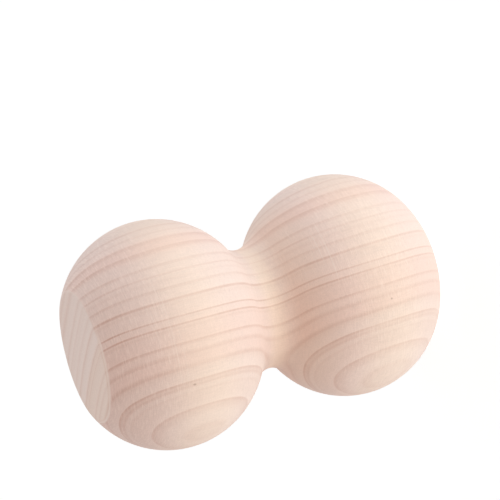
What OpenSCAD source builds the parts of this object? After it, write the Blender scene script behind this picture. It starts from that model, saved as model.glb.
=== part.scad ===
// Peanut massage ball, turned from one piece of wood: two flattened round lobes, a
// waist between them, and a flat on each end. Millimetres, lathe axis along +Z,
// standing on one flat with the origin in the middle of that flat.

/* [Lobes] */
// Diameter across each lobe at its widest
lobe_d = 70; // [64:1:76]
// Radius of the arc that makes each lobe's side; under half of lobe_d, so that the lobe is squat
lobe_arc_r = 28.5; // [26:0.5:30]
// Distance along the axis between the widest places of the two lobes
lobe_pitch = 60.6; // [58:0.1:76]

/* [Waist] */
// Diameter at the thinnest place of the waist
neck_d = 37.8; // [34:0.1:46]

/* [End flats] */
// Diameter of the flat on each end, up to the corner before it is eased
end_flat_d = 39.4; // [30:0.1:48]
// Radius of the eased edge around each flat
end_edge_r = 1.5; // [0.3:0.1:3]

/* [Finish] */
// Colour of the bare wood
wood_colour = "#efd8c5"; // [#efd8c5:pale cypress, #d9b48a:oak, #b98a5e:cherry]

/* [Hidden] */
$fa = 2;
$fs = 0.4;

// The outline below is drawn about mid-height: x is the radius, y the height.
// Centre of a lobe's side arc
side_arc_x = lobe_d / 2 - lobe_arc_r;
side_arc_y = lobe_pitch / 2;
// Height of the end flat, where the side arc has come in to the flat's own radius
end_flat_y = side_arc_y + sqrt(pow(lobe_arc_r, 2) - pow(end_flat_d / 2 - side_arc_x, 2));
total_length = 2 * end_flat_y;

// The waist's hollow is one arc that runs smoothly into both side arcs
neck_past_arc = neck_d / 2 - side_arc_x;
neck_arc_r = (pow(side_arc_y, 2) + pow(neck_past_arc, 2) - pow(lobe_arc_r, 2))
    / (2 * (lobe_arc_r - neck_past_arc));
neck_arc_x = neck_d / 2 + neck_arc_r;

// Centre of the eased edge's arc, which touches both the flat and the side arc
edge_arc_y = end_flat_y - end_edge_r;
edge_arc_x = side_arc_x
    + sqrt(pow(lobe_arc_r - end_edge_r, 2) - pow(edge_arc_y - side_arc_y, 2));
// Where the eased edge leaves the side arc, in line with the centres of both arcs
edge_angle = atan2(edge_arc_y - side_arc_y, edge_arc_x - side_arc_x);
edge_end_x = side_arc_x + lobe_arc_r * cos(edge_angle);
edge_end_y = side_arc_y + lobe_arc_r * sin(edge_angle);

// What the eased edge takes off the sharp corner between the side arc and the flat
module edge_waste() {
    difference() {
        polygon([
            [edge_arc_x, edge_arc_y],
            [edge_arc_x, end_flat_y + end_edge_r],
            [edge_end_x + end_edge_r, end_flat_y + end_edge_r],
            [edge_end_x + end_edge_r, edge_end_y],
            [edge_end_x, edge_end_y]
        ]);
        translate([edge_arc_x, edge_arc_y]) circle(r = end_edge_r);
    }
}

// The upper lobe, cut off flat at its end
module lobe_outline() {
    difference() {
        intersection() {
            translate([side_arc_x, side_arc_y]) circle(r = lobe_arc_r);
            square([lobe_d, end_flat_y]);
        }
        edge_waste();
    }
}

// The waist fills the space between the arc centres, less its own hollow
module waist_outline() {
    difference() {
        polygon([
            [0, -side_arc_y],
            [side_arc_x, -side_arc_y],
            [neck_arc_x, 0],
            [side_arc_x, side_arc_y],
            [0, side_arc_y]
        ]);
        translate([neck_arc_x, 0]) circle(r = neck_arc_r);
    }
}

module turned_body() {
    color(wood_colour) translate([0, 0, total_length / 2]) rotate_extrude() {
        lobe_outline();
        mirror([0, 1]) lobe_outline();
        waist_outline();
    }
}

turned_body();
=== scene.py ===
"""Peanut massage ball in bare pale softwood, standing on one flat end."""

import math

import bpy
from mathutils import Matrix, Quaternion, Vector


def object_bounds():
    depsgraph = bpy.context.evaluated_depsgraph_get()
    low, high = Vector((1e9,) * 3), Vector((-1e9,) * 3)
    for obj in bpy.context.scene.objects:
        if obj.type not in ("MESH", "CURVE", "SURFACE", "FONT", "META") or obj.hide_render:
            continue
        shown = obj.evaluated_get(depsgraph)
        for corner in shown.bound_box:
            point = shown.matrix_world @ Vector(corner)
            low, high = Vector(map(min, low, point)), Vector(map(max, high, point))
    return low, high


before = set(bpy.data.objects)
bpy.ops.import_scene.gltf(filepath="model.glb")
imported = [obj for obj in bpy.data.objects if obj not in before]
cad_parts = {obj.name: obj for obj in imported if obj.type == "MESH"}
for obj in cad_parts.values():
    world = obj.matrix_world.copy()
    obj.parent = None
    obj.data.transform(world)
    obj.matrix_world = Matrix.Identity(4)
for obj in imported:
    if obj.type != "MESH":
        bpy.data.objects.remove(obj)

MM = 0.001
BODY_NODE = "turned_body"

cad_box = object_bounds()
height = cad_box[1].z / MM
middle = height / 2

# ---------------------------------------------------------------- camera
CAMERA_ELEVATION = math.radians(20.93)
CAMERA_DISTANCE = 528.6 * MM
CAMERA_AIM = Vector((17.7, -2.2, 51.7)) * MM
CAMERA_ROLL = math.radians(-104.8)
CAMERA_LENS = 123.5
CAMERA_SENSOR = 36
CAMERA_NEAREST = 0.05
CAMERA_FURTHEST = 20


def add_camera():
    """Looks down on the standing ball, rolled so that its upper end lies to the left."""
    data = bpy.data.cameras.new("camera")
    data.lens = CAMERA_LENS
    data.sensor_width = CAMERA_SENSOR
    data.clip_start = CAMERA_NEAREST
    data.clip_end = CAMERA_FURTHEST
    camera = bpy.data.objects.new("camera", data)
    bpy.context.scene.collection.objects.link(camera)
    back = Vector((0, -math.cos(CAMERA_ELEVATION), math.sin(CAMERA_ELEVATION)))
    camera.location = Vector((0, 0, middle * MM)) + back * CAMERA_DISTANCE
    level = (CAMERA_AIM - camera.location).to_track_quat("-Z", "Y")
    camera.rotation_mode = "QUATERNION"
    camera.rotation_quaternion = level @ Quaternion((0, 0, 1), CAMERA_ROLL)
    bpy.context.scene.camera = camera


# ---------------------------------------------------------------- shader maths
class Nodes:
    """A short way to write shader maths: most calls add a node and return its output."""

    def __init__(self, tree):
        tree.nodes.clear()
        self.tree = tree

    def add(self, kind, **settings):
        """Adds a node and returns the node itself."""
        node = self.tree.nodes.new(kind)
        for name, value in settings.items():
            setattr(node, name, value)
        return node

    def put(self, socket, value):
        """Sets an input to a number or colour, or links it to another node's output."""
        if isinstance(value, bpy.types.NodeSocket):
            self.tree.links.new(value, socket)
        else:
            socket.default_value = value

    def math(self, operation, *values):
        node = self.add("ShaderNodeMath", operation=operation)
        for socket, value in zip(node.inputs, values):
            self.put(socket, value)
        return node.outputs[0]

    def plus(self, *values):
        total = values[0]
        for value in values[1:]:
            total = self.math("ADD", total, value)
        return total

    def times(self, *values):
        total = values[0]
        for value in values[1:]:
            total = self.math("MULTIPLY", total, value)
        return total

    def vector(self, operation, a, b):
        node = self.add("ShaderNodeVectorMath", operation=operation)
        self.put(node.inputs[0], a)
        self.put(node.inputs[1], b)
        return node.outputs["Value" if operation == "DOT_PRODUCT" else "Vector"]

    def fade(self, value, none, full):
        """0 up to none, 1 from full on, and smooth between; none may be above full."""
        node = self.add("ShaderNodeMapRange", interpolation_type="SMOOTHSTEP")
        flip = none > full
        self.put(node.inputs["Value"], value)
        node.inputs["From Min"].default_value = min(none, full)
        node.inputs["From Max"].default_value = max(none, full)
        node.inputs["To Min"].default_value = float(flip)
        node.inputs["To Max"].default_value = float(not flip)
        return node.outputs["Result"]

    def hump(self, value, centre, before, after):
        """1 at centre, fading to 0 over the length before it and the length after it."""
        rise = self.fade(value, centre - before, centre)
        fall = self.fade(value, centre + after, centre)
        return self.times(rise, fall)

    def ramp(self, value, stops):
        """Goes smoothly from stop to stop, each a (value, level), and is level outside them."""
        node = self.add("ShaderNodeValToRGB")
        first = stops[0][0]
        width = stops[-1][0] - first
        self.put(node.inputs["Fac"], self.times(self.plus(value, -first), 1 / width))
        ramp = node.color_ramp
        ramp.interpolation = "EASE"
        while len(ramp.elements) < len(stops):
            ramp.elements.new(0.5)
        for element, (place, level) in zip(ramp.elements, stops):
            element.position = (place - first) / width
            element.color = (level, level, level, 1)
        return node.outputs["Color"]

    def noise(self, place, stretch, detail=2.0, roughness=0.5):
        """Noise from -1 to 1 whose features are about stretch = (x, y, z) mm apart."""
        node = self.add("ShaderNodeTexNoise")
        squeezed = self.vector("DIVIDE", place, stretch)
        self.put(node.inputs["Vector"], squeezed)
        node.inputs["Scale"].default_value = 1.0
        node.inputs["Detail"].default_value = detail
        node.inputs["Roughness"].default_value = roughness
        return self.plus(self.times(node.outputs["Fac"], 2.0), -1.0)

    def mix(self, amount, a, b):
        """Colour a, turning to colour b as amount goes from 0 to 1."""
        node = self.add("ShaderNodeMix", data_type="RGBA")
        self.put(node.inputs["Factor"], amount)
        # A Mix node has sockets of every type; those of its colours are found by their type
        colours = [socket for socket in node.inputs if socket.type == "RGBA"]
        self.put(colours[0], a)
        self.put(colours[1], b)
        return next(socket for socket in node.outputs if socket.type == "RGBA")

    def tint(self, colour, factor):
        """The colour made lighter or darker by a factor."""
        return self.vector("MULTIPLY", colour, self.gather(factor, factor, factor))

    def gather(self, *values):
        """One vector from three numbers."""
        node = self.add("ShaderNodeCombineXYZ")
        for socket, value in zip(node.inputs, values):
            self.put(socket, value)
        return node.outputs[0]

    def split(self, vector):
        """A vector's three numbers."""
        node = self.add("ShaderNodeSeparateXYZ")
        self.put(node.inputs[0], vector)
        return node.outputs

    def join(self, kind, a, b, factor=None):
        """Adds or mixes two shaders."""
        node = self.add(kind)
        if factor is not None:
            self.put(node.inputs[0], factor)
        self.put(node.inputs[-2], a)
        self.put(node.inputs[-1], b)
        return node.outputs[0]

    def seen(self):
        """1 for rays that should find a white background: straight, mirrored or seen through."""
        rays = self.add("ShaderNodeLightPath").outputs
        mirrored = self.math("MAXIMUM", rays["Is Glossy Ray"], rays["Is Transmission Ray"])
        return self.math("MAXIMUM", rays["Is Camera Ray"], mirrored)


# ---------------------------------------------------------------- world and floor
# Light of one colour from all round, and three broad soft lamps over it: where each is, how
# narrow (the power of the cosine that it falls off by), and its colour at its middle
FILL = (0.60, 0.50, 0.45, 1)
LAMPS = (
    ((-0.24, -0.69, -0.68), 8, (2.75, 3.15, 3.05, 1)),
    ((0.95, -0.14, -0.29), 8, (1.35, 1.65, 1.80, 1)),
    ((0.37, 0.81, 0.45), 2, (0.35, 0.55, 0.65, 1)),
)
BACKGROUND = (1, 1, 1, 1)

# The light on the floor's grey and the floor's own glow make white together. The ball keeps off
# only some of that light, so its shadow is faint.
FLOOR_HALF = 3.0
FLOOR_GREY = (0.45, 0.48, 0.495, 1)
FLOOR_GLOW = 0.71


def add_world():
    """Soft light from all round, brightest from the front and below as over a light table."""
    world = bpy.data.worlds.new("soft light")
    bpy.context.scene.world = world
    world.use_nodes = True
    n = Nodes(world.node_tree)
    direction = n.add("ShaderNodeTexCoord").outputs["Generated"]
    fill = n.add("ShaderNodeBackground")
    fill.inputs["Color"].default_value = FILL
    light = fill.outputs[0]
    for place, narrow, colour in LAMPS:
        facing = n.vector("DOT_PRODUCT", direction, tuple(Vector(place).normalized()))
        lamp = n.add("ShaderNodeBackground")
        lamp.inputs["Color"].default_value = colour
        n.put(lamp.inputs["Strength"], n.math("POWER", n.math("MAXIMUM", facing, 0.0), narrow))
        light = n.join("ShaderNodeAddShader", light, lamp.outputs[0])
    white = n.add("ShaderNodeBackground")
    white.inputs["Color"].default_value = BACKGROUND
    out = n.add("ShaderNodeOutputWorld")
    n.put(out.inputs["Surface"], n.join("ShaderNodeMixShader", light, white.outputs[0], n.seen()))


def add_floor():
    """A plain white floor that shows the ball's shadow but lets the light from below through."""
    mesh = bpy.data.meshes.new("floor")
    signs = ((-1, -1), (1, -1), (1, 1), (-1, 1))
    corners = [(x * FLOOR_HALF, y * FLOOR_HALF, 0) for x, y in signs]
    mesh.from_pydata(corners, [], [(0, 1, 2, 3)])
    floor = bpy.data.objects.new("floor", mesh)
    bpy.context.scene.collection.objects.link(floor)
    floor.visible_shadow = False
    floor.visible_diffuse = False
    material = bpy.data.materials.new("floor")
    material.use_nodes = True
    n = Nodes(material.node_tree)
    diffuse = n.add("ShaderNodeBsdfDiffuse")
    diffuse.inputs["Color"].default_value = FLOOR_GREY
    glow = n.add("ShaderNodeEmission")
    n.put(glow.inputs["Strength"], n.times(n.seen(), FLOOR_GLOW))
    out = n.add("ShaderNodeOutputMaterial")
    n.put(out.inputs["Surface"], n.join("ShaderNodeAddShader", diffuse.outputs[0], glow.outputs[0]))
    mesh.materials.append(material)


# ---------------------------------------------------------------- wood: its rings
# From here on, lengths are in mm and heights are measured up from the flat that the ball stands
# on. A pair called ..._FROM says where something comes in: it isn't there up to the first value
# and is full from the second on, and the second may be the smaller.

# Where the tree's pith ran past the ball, and how much it leans along X for each mm of height
PITH = (-69.85, -37.9)
PITH_LEAN = -0.012

# How the rings bend away from circles about the pith. A place in the wood is counted in these
# units: across the line from the pith to the ball, out from OUT_MIDDLE, and up from mid-height.
# Each bend says how many times it takes each of the three as a factor, and its size.
ACROSS_UNIT = 30
OUT_UNIT = 30
OUT_MIDDLE = 75
UP_UNIT = 55
BENDS = (
    (2, 1, 0, -1.11),
    (2, 0, 0, -0.125),
    (3, 0, 0, -0.28),
    (1, 1, 0, 0.2),
    (0, 0, 2, -0.63),
)
# How far they wander besides, and how far apart that comes and goes
WANDER = 0.25
WANDER_STRETCH = (14, 14, 45)

# The stripes on a flat bow out by 1 mm in its middle, and not at all this far from the axis
BOW_REACH = 18.5

# Each growth ring's line of dense latewood: its distance from the pith, how dark it is, and
# how far it fades towards the pith and towards the bark
RINGS = (
    (45.0, 0.10, 0.8, 0.6),
    (48.4, 0.13, 2.0, 0.6),
    (48.9, 0.21, 0.6, 0.3),
    (52.9, 0.06, 0.7, 0.5),
    (54.7, 0.17, 0.8, 0.8),
    (55.8, 0.27, 0.9, 0.35),
    (59.4, 0.07, 2.0, 0.8),
    (59.9, 0.18, 0.8, 1.1),
    (63.4, 0.16, 0.8, 1.2),
    (66.5, 0.22, 0.9, 0.4),
    (70.7, 0.08, 0.8, 0.8),
    (71.8, 0.32, 0.55, 0.4),
    (74.0, 0.31, 0.45, 0.35),
    (77.8, 0.07, 1.2, 0.6),
    (78.9, 0.28, 0.8, 0.6),
    (82.4, 0.13, 1.0, 0.45),
    (84.6, 0.05, 0.8, 0.9),
    (86.4, 0.14, 0.6, 0.45),
    (89.3, 0.14, 1.0, 0.5),
    (94.3, 0.18, 1.9, 0.45),
    (97.4, 0.20, 1.5, 0.7),
    (100.0, 0.11, 0.7, 0.8),
    (102.7, 0.18, 0.9, 0.5),
    (106.8, 0.14, 1.2, 0.5),
    (110.4, 0.20, 1.0, 0.5),
    (113.6, 0.12, 0.8, 0.5),
)

# The same rings on the flats, where they are soft stripes: distance from the pith, and how dark
# the stripe is there
END_STRIPES = (
    (58, 0.0),
    (59.9, 0.16),
    (61.3, 0.0),
    (63.4, 0.16),
    (64.6, 0.0),
    (66.5, 0.20),
    (67.8, 0.02),
    (70.0, 0.05),
    (71.8, 0.15),
    (74.0, 0.34),
    (75.3, 0.0),
    (77.0, 0.02),
    (78.9, 0.30),
    (80.1, 0.0),
    (82.4, 0.14),
    (83.6, 0.02),
    (86.4, 0.13),
    (87.4, 0.0),
    (89.3, 0.22),
    (90.5, 0.0),
    (92.4, 0.03),
    (94.6, 0.25),
    (95.9, 0.02),
    (97.7, 0.17),
    (99.0, 0.0),
)
# How much of a stripe's darkness shows
STRIPE = 0.5

# How far the paler wood that each spring starts with fades out
SPRING_LENGTH = 1.8

# How much of a line's darkness shows
LINE = 0.85
# How much more where the surface cuts across the fibres, except near the foot
LINE_CUT = 0.45
LINE_CUT_FROM = (8, 28)
# How much more by the upper rim
LINE_RIM = 0.5
LINE_RIM_FROM = (99, 108)
# What share of it is left out on the flats
LINE_LEFT_OUT = 0.78
# How uneven lines and stripes are, and how far apart that comes and goes
LINE_UNEVEN = 0.5
LINE_STRETCH = (5, 5, 18)

# How near to an end's height a flat's own look comes in
FLAT_FROM = (0.40, 0.02)


class Spot:
    """A place on the ball's surface, in shader values."""

    def __init__(self, n):
        metres = n.add("ShaderNodeTexCoord").outputs["Object"]
        self.place = n.vector("MULTIPLY", metres, (1 / MM, 1 / MM, 1 / MM))
        self.x, self.y, self.z = n.split(self.place)
        from_middle = n.math("ABSOLUTE", n.plus(self.z, -middle))
        # How far it is from the nearer end along the axis
        self.from_end = n.plus(n.times(from_middle, -1.0), middle)
        # 1 on the flats, 0 on the sides
        self.flat = n.fade(self.from_end, *FLAT_FROM)
        # How far out it is among the tree's rings
        self.ring = ring_distance(n, self)


def ring_distance(n, spot):
    """Distance from the pith, bent a little as rings are that don't share one centre.

    Places with the same distance are on the same ring.
    """
    rise = n.plus(spot.z, -middle)
    dx = n.plus(spot.x, -PITH[0], n.times(rise, -PITH_LEAN))
    dy = n.plus(spot.y, -PITH[1])
    straight = n.math("SQRT", n.plus(n.times(dx, dx), n.times(dy, dy)))
    reach = math.hypot(*PITH)
    out_x = -PITH[0] / reach
    out_y = -PITH[1] / reach
    across = n.times(n.plus(n.times(dx, -out_y), n.times(dy, out_x)), 1 / ACROSS_UNIT)
    out = n.times(n.plus(straight, -OUT_MIDDLE), 1 / OUT_UNIT)
    up = n.times(rise, 1 / UP_UNIT)
    bend = 0.0
    for times_across, times_out, times_up, size in BENDS:
        factors = [across] * times_across + [out] * times_out + [up] * times_up
        bend = n.plus(bend, n.times(*factors, size))
    wander = n.times(n.noise(spot.place, WANDER_STRETCH, detail=1.0), WANDER)
    return n.plus(straight, bend, wander, stripe_bow(n, spot))


def stripe_bow(n, spot):
    """How far the stripes on a flat bow out; nothing elsewhere."""
    off_axis = n.times(n.plus(n.times(spot.x, spot.x), n.times(spot.y, spot.y)), 1 / BOW_REACH**2)
    inside = n.math("MAXIMUM", n.plus(1.0, n.times(off_axis, -1.0)), 0.0)
    return n.times(inside, spot.flat)


def ring_lines(n, ring):
    """How dark the rings' lines are, and how pale the spring wood that follows each of them."""
    lines = 0.0
    spring = 0.0
    for radius, darkness, fade_in, fade_out in RINGS:
        lines = n.plus(lines, n.times(n.hump(ring, radius, fade_in, fade_out), darkness))
        pale = n.hump(ring, radius + fade_out, fade_out, SPRING_LENGTH)
        spring = n.plus(spring, n.times(pale, darkness))
    return lines, spring


def latewood(n, spot, lines, cut):
    """How dark the latewood is: thin lines on the sides and soft stripes on the flats."""
    uneven = n.plus(1.0, n.times(n.noise(spot.place, LINE_STRETCH), LINE_UNEVEN))
    stripes = n.ramp(spot.ring, END_STRIPES)
    bold = n.times(cut, n.fade(spot.z, *LINE_CUT_FROM), LINE_CUT)
    rim = n.times(n.fade(spot.z, *LINE_RIM_FROM), LINE_RIM)
    kept = n.plus(1.0, n.times(spot.flat, -LINE_LEFT_OUT))
    sharp = n.times(n.plus(LINE, bold, rim), kept)
    return n.times(n.plus(n.times(lines, sharp), n.times(stripes, spot.flat, STRIPE)), uneven)


# ---------------------------------------------------------------- wood: its colours
CREAM = (0.865, 0.71, 0.635, 1)
PINK = (0.855, 0.65, 0.57, 1)
PALE = (0.905, 0.76, 0.69, 1)
ROSY = (0.80, 0.655, 0.585, 1)
LATEWOOD = (0.58, 0.32, 0.23, 1)
# On the flats: end grain with a painted sheen, paler and greyer as if the white surroundings were
# reflected
END_CREAM_SHEEN = (0.875, 0.765, 0.73, 1)
END_WARM_SHEEN = (0.87, 0.745, 0.685, 1)
SPECK = (0.42, 0.27, 0.20, 1)
# Pale colour of rubbed wood for the scratches and the lightest turning marks, and also of the
# painted highlight on the edges of the flats
RUBBED_AND_HIGHLIT = (0.95, 0.84, 0.78, 1)

# Years in which the wood is pinker: middle of the band, half its width, and how much. Patches
# that keep to no year are pinker too, or less so.
PINK_BANDS = (
    (61.5, 3.0, 0.40),
    (67.0, 12.0, 0.6),
    (95.5, 5.0, 0.75),
    (104.0, 6.0, 0.45),
)
PINK_PATCHES = 0.25
PATCH_STRETCH = (16, 16, 40)

# Distances from the pith where the other colours come in
PALE_FROM = (52, 46)
ROSY_FROM = (97, 105)
END_CREAM_SHEEN_FROM = (72, 76)

# How much of their colour the flats have: end grain with a painted sheen
FLAT_COLOUR = 0.85

# The cosine between a surface's normal and the fibres, from where the surface runs along them to
# where it cuts across them. Wood is lighter where its surface runs along them.
CUT_FROM = (0.05, 0.55)
ALONG_FIBRES = (1.015, 1.01, 0.995, 1)
ACROSS_FIBRES = (0.96, 0.95, 0.98, 1)

# Painted light: the lower lobe is a little lighter, most of all in a painted highlight band on it,
# and the waist is warmer with painted light bounced between the lobes. A band is the height of its
# middle, and how far it fades below and above that.
LOWER_PAINTED_LIGHT = 0.03
LOWER_FROM = (60, 30)
HIGHLIGHT_BAND = (36, 9, 9)
WARM_BOUNCE_BAND = (50, 16, 14)
WARM_BOUNCE = (1.0, 1.005, 0.96)


def base_colour(n, spot):
    """The colour of the wood between its lines; on the flats it holds a painted sheen."""
    pink = 0.0
    for centre, half_width, amount in PINK_BANDS:
        band = n.hump(spot.ring, centre, half_width, half_width)
        pink = n.plus(pink, n.times(band, amount))
    pink = n.plus(pink, n.times(n.noise(spot.place, PATCH_STRETCH), PINK_PATCHES))
    pink = n.math("MINIMUM", n.math("MAXIMUM", pink, 0.0), 1.0)
    side = n.mix(pink, CREAM, PINK)
    side = n.mix(n.fade(spot.ring, *PALE_FROM), side, PALE)
    side = n.mix(n.fade(spot.ring, *ROSY_FROM), side, ROSY)
    # The flats: end grain colour with a painted sheen
    end = n.mix(n.fade(spot.ring, *END_CREAM_SHEEN_FROM), END_WARM_SHEEN, END_CREAM_SHEEN)
    return n.mix(n.times(spot.flat, FLAT_COLOUR), side, end)


def cut_across(n):
    """1 where the surface cuts across the fibres, 0 where it runs along them."""
    facing = n.split(n.add("ShaderNodeTexCoord").outputs["Normal"])[2]
    return n.fade(n.math("ABSOLUTE", facing), *CUT_FROM)


def lobe_painted_light(n, z):
    """How much painted light, a lighter lower lobe with a painted highlight band, lightens the wood
    at each height.
    """
    lower = n.times(n.fade(z, *LOWER_FROM), LOWER_PAINTED_LIGHT)
    band = n.times(n.hump(z, *HIGHLIGHT_BAND), LOWER_PAINTED_LIGHT)
    return n.plus(1.0, lower, band)


# ---------------------------------------------------------------- wood: its marks
# How far apart each pattern's features are, and how much lighter or darker they make the wood
FIBRE_STRETCH = (0.45, 0.45, 11)
FIBRE_SHADE = 0.08
PORE_STRETCH = (0.30, 0.30, 0.30)
PORE_SHADE = 0.08
PORE_SHADE_ON_FLAT = 0.02
TURNING_STRETCH = (2.8, 2.8, 0.24)
TURNING_SHADE = 0.10
# How much lighter the wood is where a spring's growth starts
SPRING_SHADE = 0.07

# Turning marks are weak, but stronger by the upper rim and over a stretch of the lower lobe
TURNING_WEAK = 0.55
TURNING_MORE = 0.4
RIM_MARKS_FROM = (87, 96)
LOWER_MARKS_FROM = (8, 22)
LOWER_MARKS_DOWN_FROM = (42, 36)
# Where they are strong, their lightest lines are rubbed
LINE_RUBBED = 0.22
LINE_RUBBED_FROM = (0.12, 0.4)

# A painted highlight on the eased edge of each flat, a pale line: how far below the flat its middle
# is, and how far it fades above and below that. It is clearest on the side that faces EDGE_SIDE,
# where the light catches the edge.
EDGE_LINE = (0.35, 0.30, 0.40)
EDGE_EVERYWHERE = 0.05
EDGE_CLEAR = 0.75
EDGE_SIDE = (-0.707, -0.707, 0)
EDGE_CLEAR_FROM = (8, 14)

# Light scratches left by the lathe: height, the angles where each starts and ends, in degrees
# about the axis from the front towards +X, and how clear it is
SCRATCHES = (
    (34.2, 36, 44, 0.35),
    (38.7, 5, 36, 1.0),
    (39.5, 16, 30, 0.6),
    (40.7, 15, 33, 1.0),
    (41.5, 18, 33, 0.5),
    (42.6, 14, 26, 0.35),
    (45.3, 36, 50, 0.4),
    (45.9, 8, 16, 0.4),
    (91.5, -26, 6, 0.35),
    (93.5, -24, 18, 0.5),
    (94.3, -18, 28, 0.45),
    (97.4, -8, 12, 0.5),
    (98.2, -4, 24, 0.35),
)
# Half of a scratch's width, and how many degrees it fades over at each end
SCRATCH_HALF = 0.24
SCRATCH_FADE = 4.0
# How much of it shows, give or take how much along its length, and over what distances
SCRATCH_EVEN = 0.65
SCRATCH_UNEVEN = 0.7
SCRATCH_STRETCH = (2.5, 2.5, 0.5)
SCRATCH_RUBBED = 0.6

# Small dark specks in the wood: place, and reach along each axis
SPECKS = (
    ((-16.3, -30.8, 90.1), (0.5, 0.5, 0.75)),
    ((-8.0, -33.9, 24.9), (0.45, 0.45, 0.5)),
)
SPECK_DARK = 0.6
SPECK_FROM = (1.0, 0.3)

# How far each thing stands out of the surface
LATEWOOD_RELIEF = 0.05
FIBRE_RELIEF = 0.008
TURNING_RELIEF = 0.010
SCRATCH_RELIEF = -0.02

# Roughness, what each thing adds to it, and how much the wood mirrors
ROUGH = 0.62
LATEWOOD_ROUGH = -0.4
FLAT_ROUGH = 0.15
PORE_ROUGH = 0.04
SPECULAR = 0.25


def turning_marks(n, spot, side):
    """Turning marks, from -1 to 1, and how much their lightest lines are rubbed."""
    lower = n.times(n.fade(spot.z, *LOWER_MARKS_DOWN_FROM), n.fade(spot.z, *LOWER_MARKS_FROM))
    marked = n.math("MAXIMUM", n.fade(spot.z, *RIM_MARKS_FROM), lower)
    marks = n.noise(spot.place, TURNING_STRETCH, detail=1.0, roughness=0.6)
    rubbed = n.times(n.fade(marks, *LINE_RUBBED_FROM), marked, side, LINE_RUBBED)
    marks = n.times(marks, n.plus(TURNING_WEAK, n.times(marked, TURNING_MORE)))
    return marks, rubbed


def scratches(n, spot):
    """How clear a scratch is along it, 0 elsewhere."""
    turn = n.times(n.math("ARCTAN2", spot.x, n.times(spot.y, -1.0)), 180 / math.pi)
    total = 0.0
    for scratch_height, start, end, clear in SCRATCHES:
        thin = n.hump(spot.z, scratch_height, SCRATCH_HALF, SCRATCH_HALF)
        rise = n.fade(turn, start - SCRATCH_FADE, start + SCRATCH_FADE)
        fall = n.fade(turn, end + SCRATCH_FADE, end - SCRATCH_FADE)
        total = n.plus(total, n.times(thin, rise, fall, clear))
    uneven = n.times(n.noise(spot.place, SCRATCH_STRETCH), SCRATCH_UNEVEN)
    return n.times(total, n.plus(SCRATCH_EVEN, uneven))


def edge_highlight(n, spot):
    """How much painted highlight lies on the edge of each flat, most on the side the light catches.
    """
    clear = n.fade(n.vector("DOT_PRODUCT", spot.place, EDGE_SIDE), *EDGE_CLEAR_FROM)
    line = n.hump(spot.from_end, *EDGE_LINE)
    return n.times(line, n.plus(EDGE_EVERYWHERE, n.times(clear, EDGE_CLEAR)))


def specks(n, place):
    """1 inside each dark speck, 0 elsewhere."""
    total = 0.0
    for centre, reach in SPECKS:
        offset = n.vector("DIVIDE", n.vector("SUBTRACT", place, centre), reach)
        away = n.math("SQRT", n.vector("DOT_PRODUCT", offset, offset))
        total = n.plus(total, n.fade(away, *SPECK_FROM))
    return total


def add_surface(n, colour, rough, relief):
    """The shader of the surface, with its relief as bump."""
    bump = n.add("ShaderNodeBump")
    bump.inputs["Strength"].default_value = 1.0
    bump.inputs["Distance"].default_value = MM
    n.put(bump.inputs["Height"], relief)
    shader = n.add("ShaderNodeBsdfPrincipled")
    n.put(shader.inputs["Base Color"], colour)
    n.put(shader.inputs["Roughness"], rough)
    n.put(shader.inputs["Normal"], bump.outputs[0])
    shader.inputs["Specular IOR Level"].default_value = SPECULAR
    out = n.add("ShaderNodeOutputMaterial")
    n.put(out.inputs["Surface"], shader.outputs[0])


def wood():
    """Bare pale softwood with one growth figure all through it, turned and lightly rubbed, with
    painted light, sheen and highlights in its colour.
    """
    material = bpy.data.materials.new("turned_wood")
    material.use_nodes = True
    n = Nodes(material.node_tree)
    spot = Spot(n)
    base = base_colour(n, spot)
    lines, spring = ring_lines(n, spot.ring)
    cut = cut_across(n)
    dark = latewood(n, spot, lines, cut)
    colour = n.mix(dark, base, LATEWOOD)

    side = n.plus(1.0, n.times(spot.flat, -1.0))
    fibres = n.noise(spot.place, FIBRE_STRETCH, detail=3.0, roughness=0.7)
    pores = n.noise(spot.place, PORE_STRETCH, detail=1.0, roughness=0.7)
    turning, rubbed_lines = turning_marks(n, spot, side)
    shade = n.plus(
        1.0,
        n.times(fibres, side, FIBRE_SHADE),
        n.times(pores, n.plus(PORE_SHADE, n.times(spot.flat, PORE_SHADE_ON_FLAT))),
        n.times(turning, side, TURNING_SHADE),
        n.times(spring, SPRING_SHADE),
    )
    # Painted light: the lower lobe lighter, with a painted highlight band on it
    shade = n.times(shade, lobe_painted_light(n, spot.z))
    scratch = scratches(n, spot)
    edge = edge_highlight(n, spot)

    colour = n.vector("MULTIPLY", colour, n.mix(n.times(cut, side), ALONG_FIBRES, ACROSS_FIBRES))
    colour = n.tint(colour, shade)
    # Painted warm light bounced between the lobes, in the waist
    colour = n.mix(n.hump(spot.z, *WARM_BOUNCE_BAND), colour, n.vector("MULTIPLY", colour, WARM_BOUNCE))
    # Scratches and rubbed turning lines are worn wood; the edge term is a painted highlight
    rubbed = n.plus(edge, n.times(scratch, SCRATCH_RUBBED), rubbed_lines)
    colour = n.mix(n.math("MINIMUM", rubbed, 1.0), colour, RUBBED_AND_HIGHLIT)
    colour = n.mix(n.times(specks(n, spot.place), SPECK_DARK), colour, SPECK)

    relief = n.plus(
        n.times(dark, LATEWOOD_RELIEF),
        n.times(fibres, FIBRE_RELIEF),
        n.times(turning, side, TURNING_RELIEF),
        n.times(scratch, SCRATCH_RELIEF),
    )
    rough = n.plus(
        ROUGH,
        n.times(dark, LATEWOOD_ROUGH),
        n.times(spot.flat, FLAT_ROUGH),
        n.times(pores, PORE_ROUGH),
    )
    add_surface(n, colour, rough, relief)
    return material


add_camera()
add_world()
add_floor()
turned_wood = wood()
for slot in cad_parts[BODY_NODE].material_slots:
    slot.material = turned_wood

view = bpy.context.scene.view_settings
view.view_transform = "Standard"
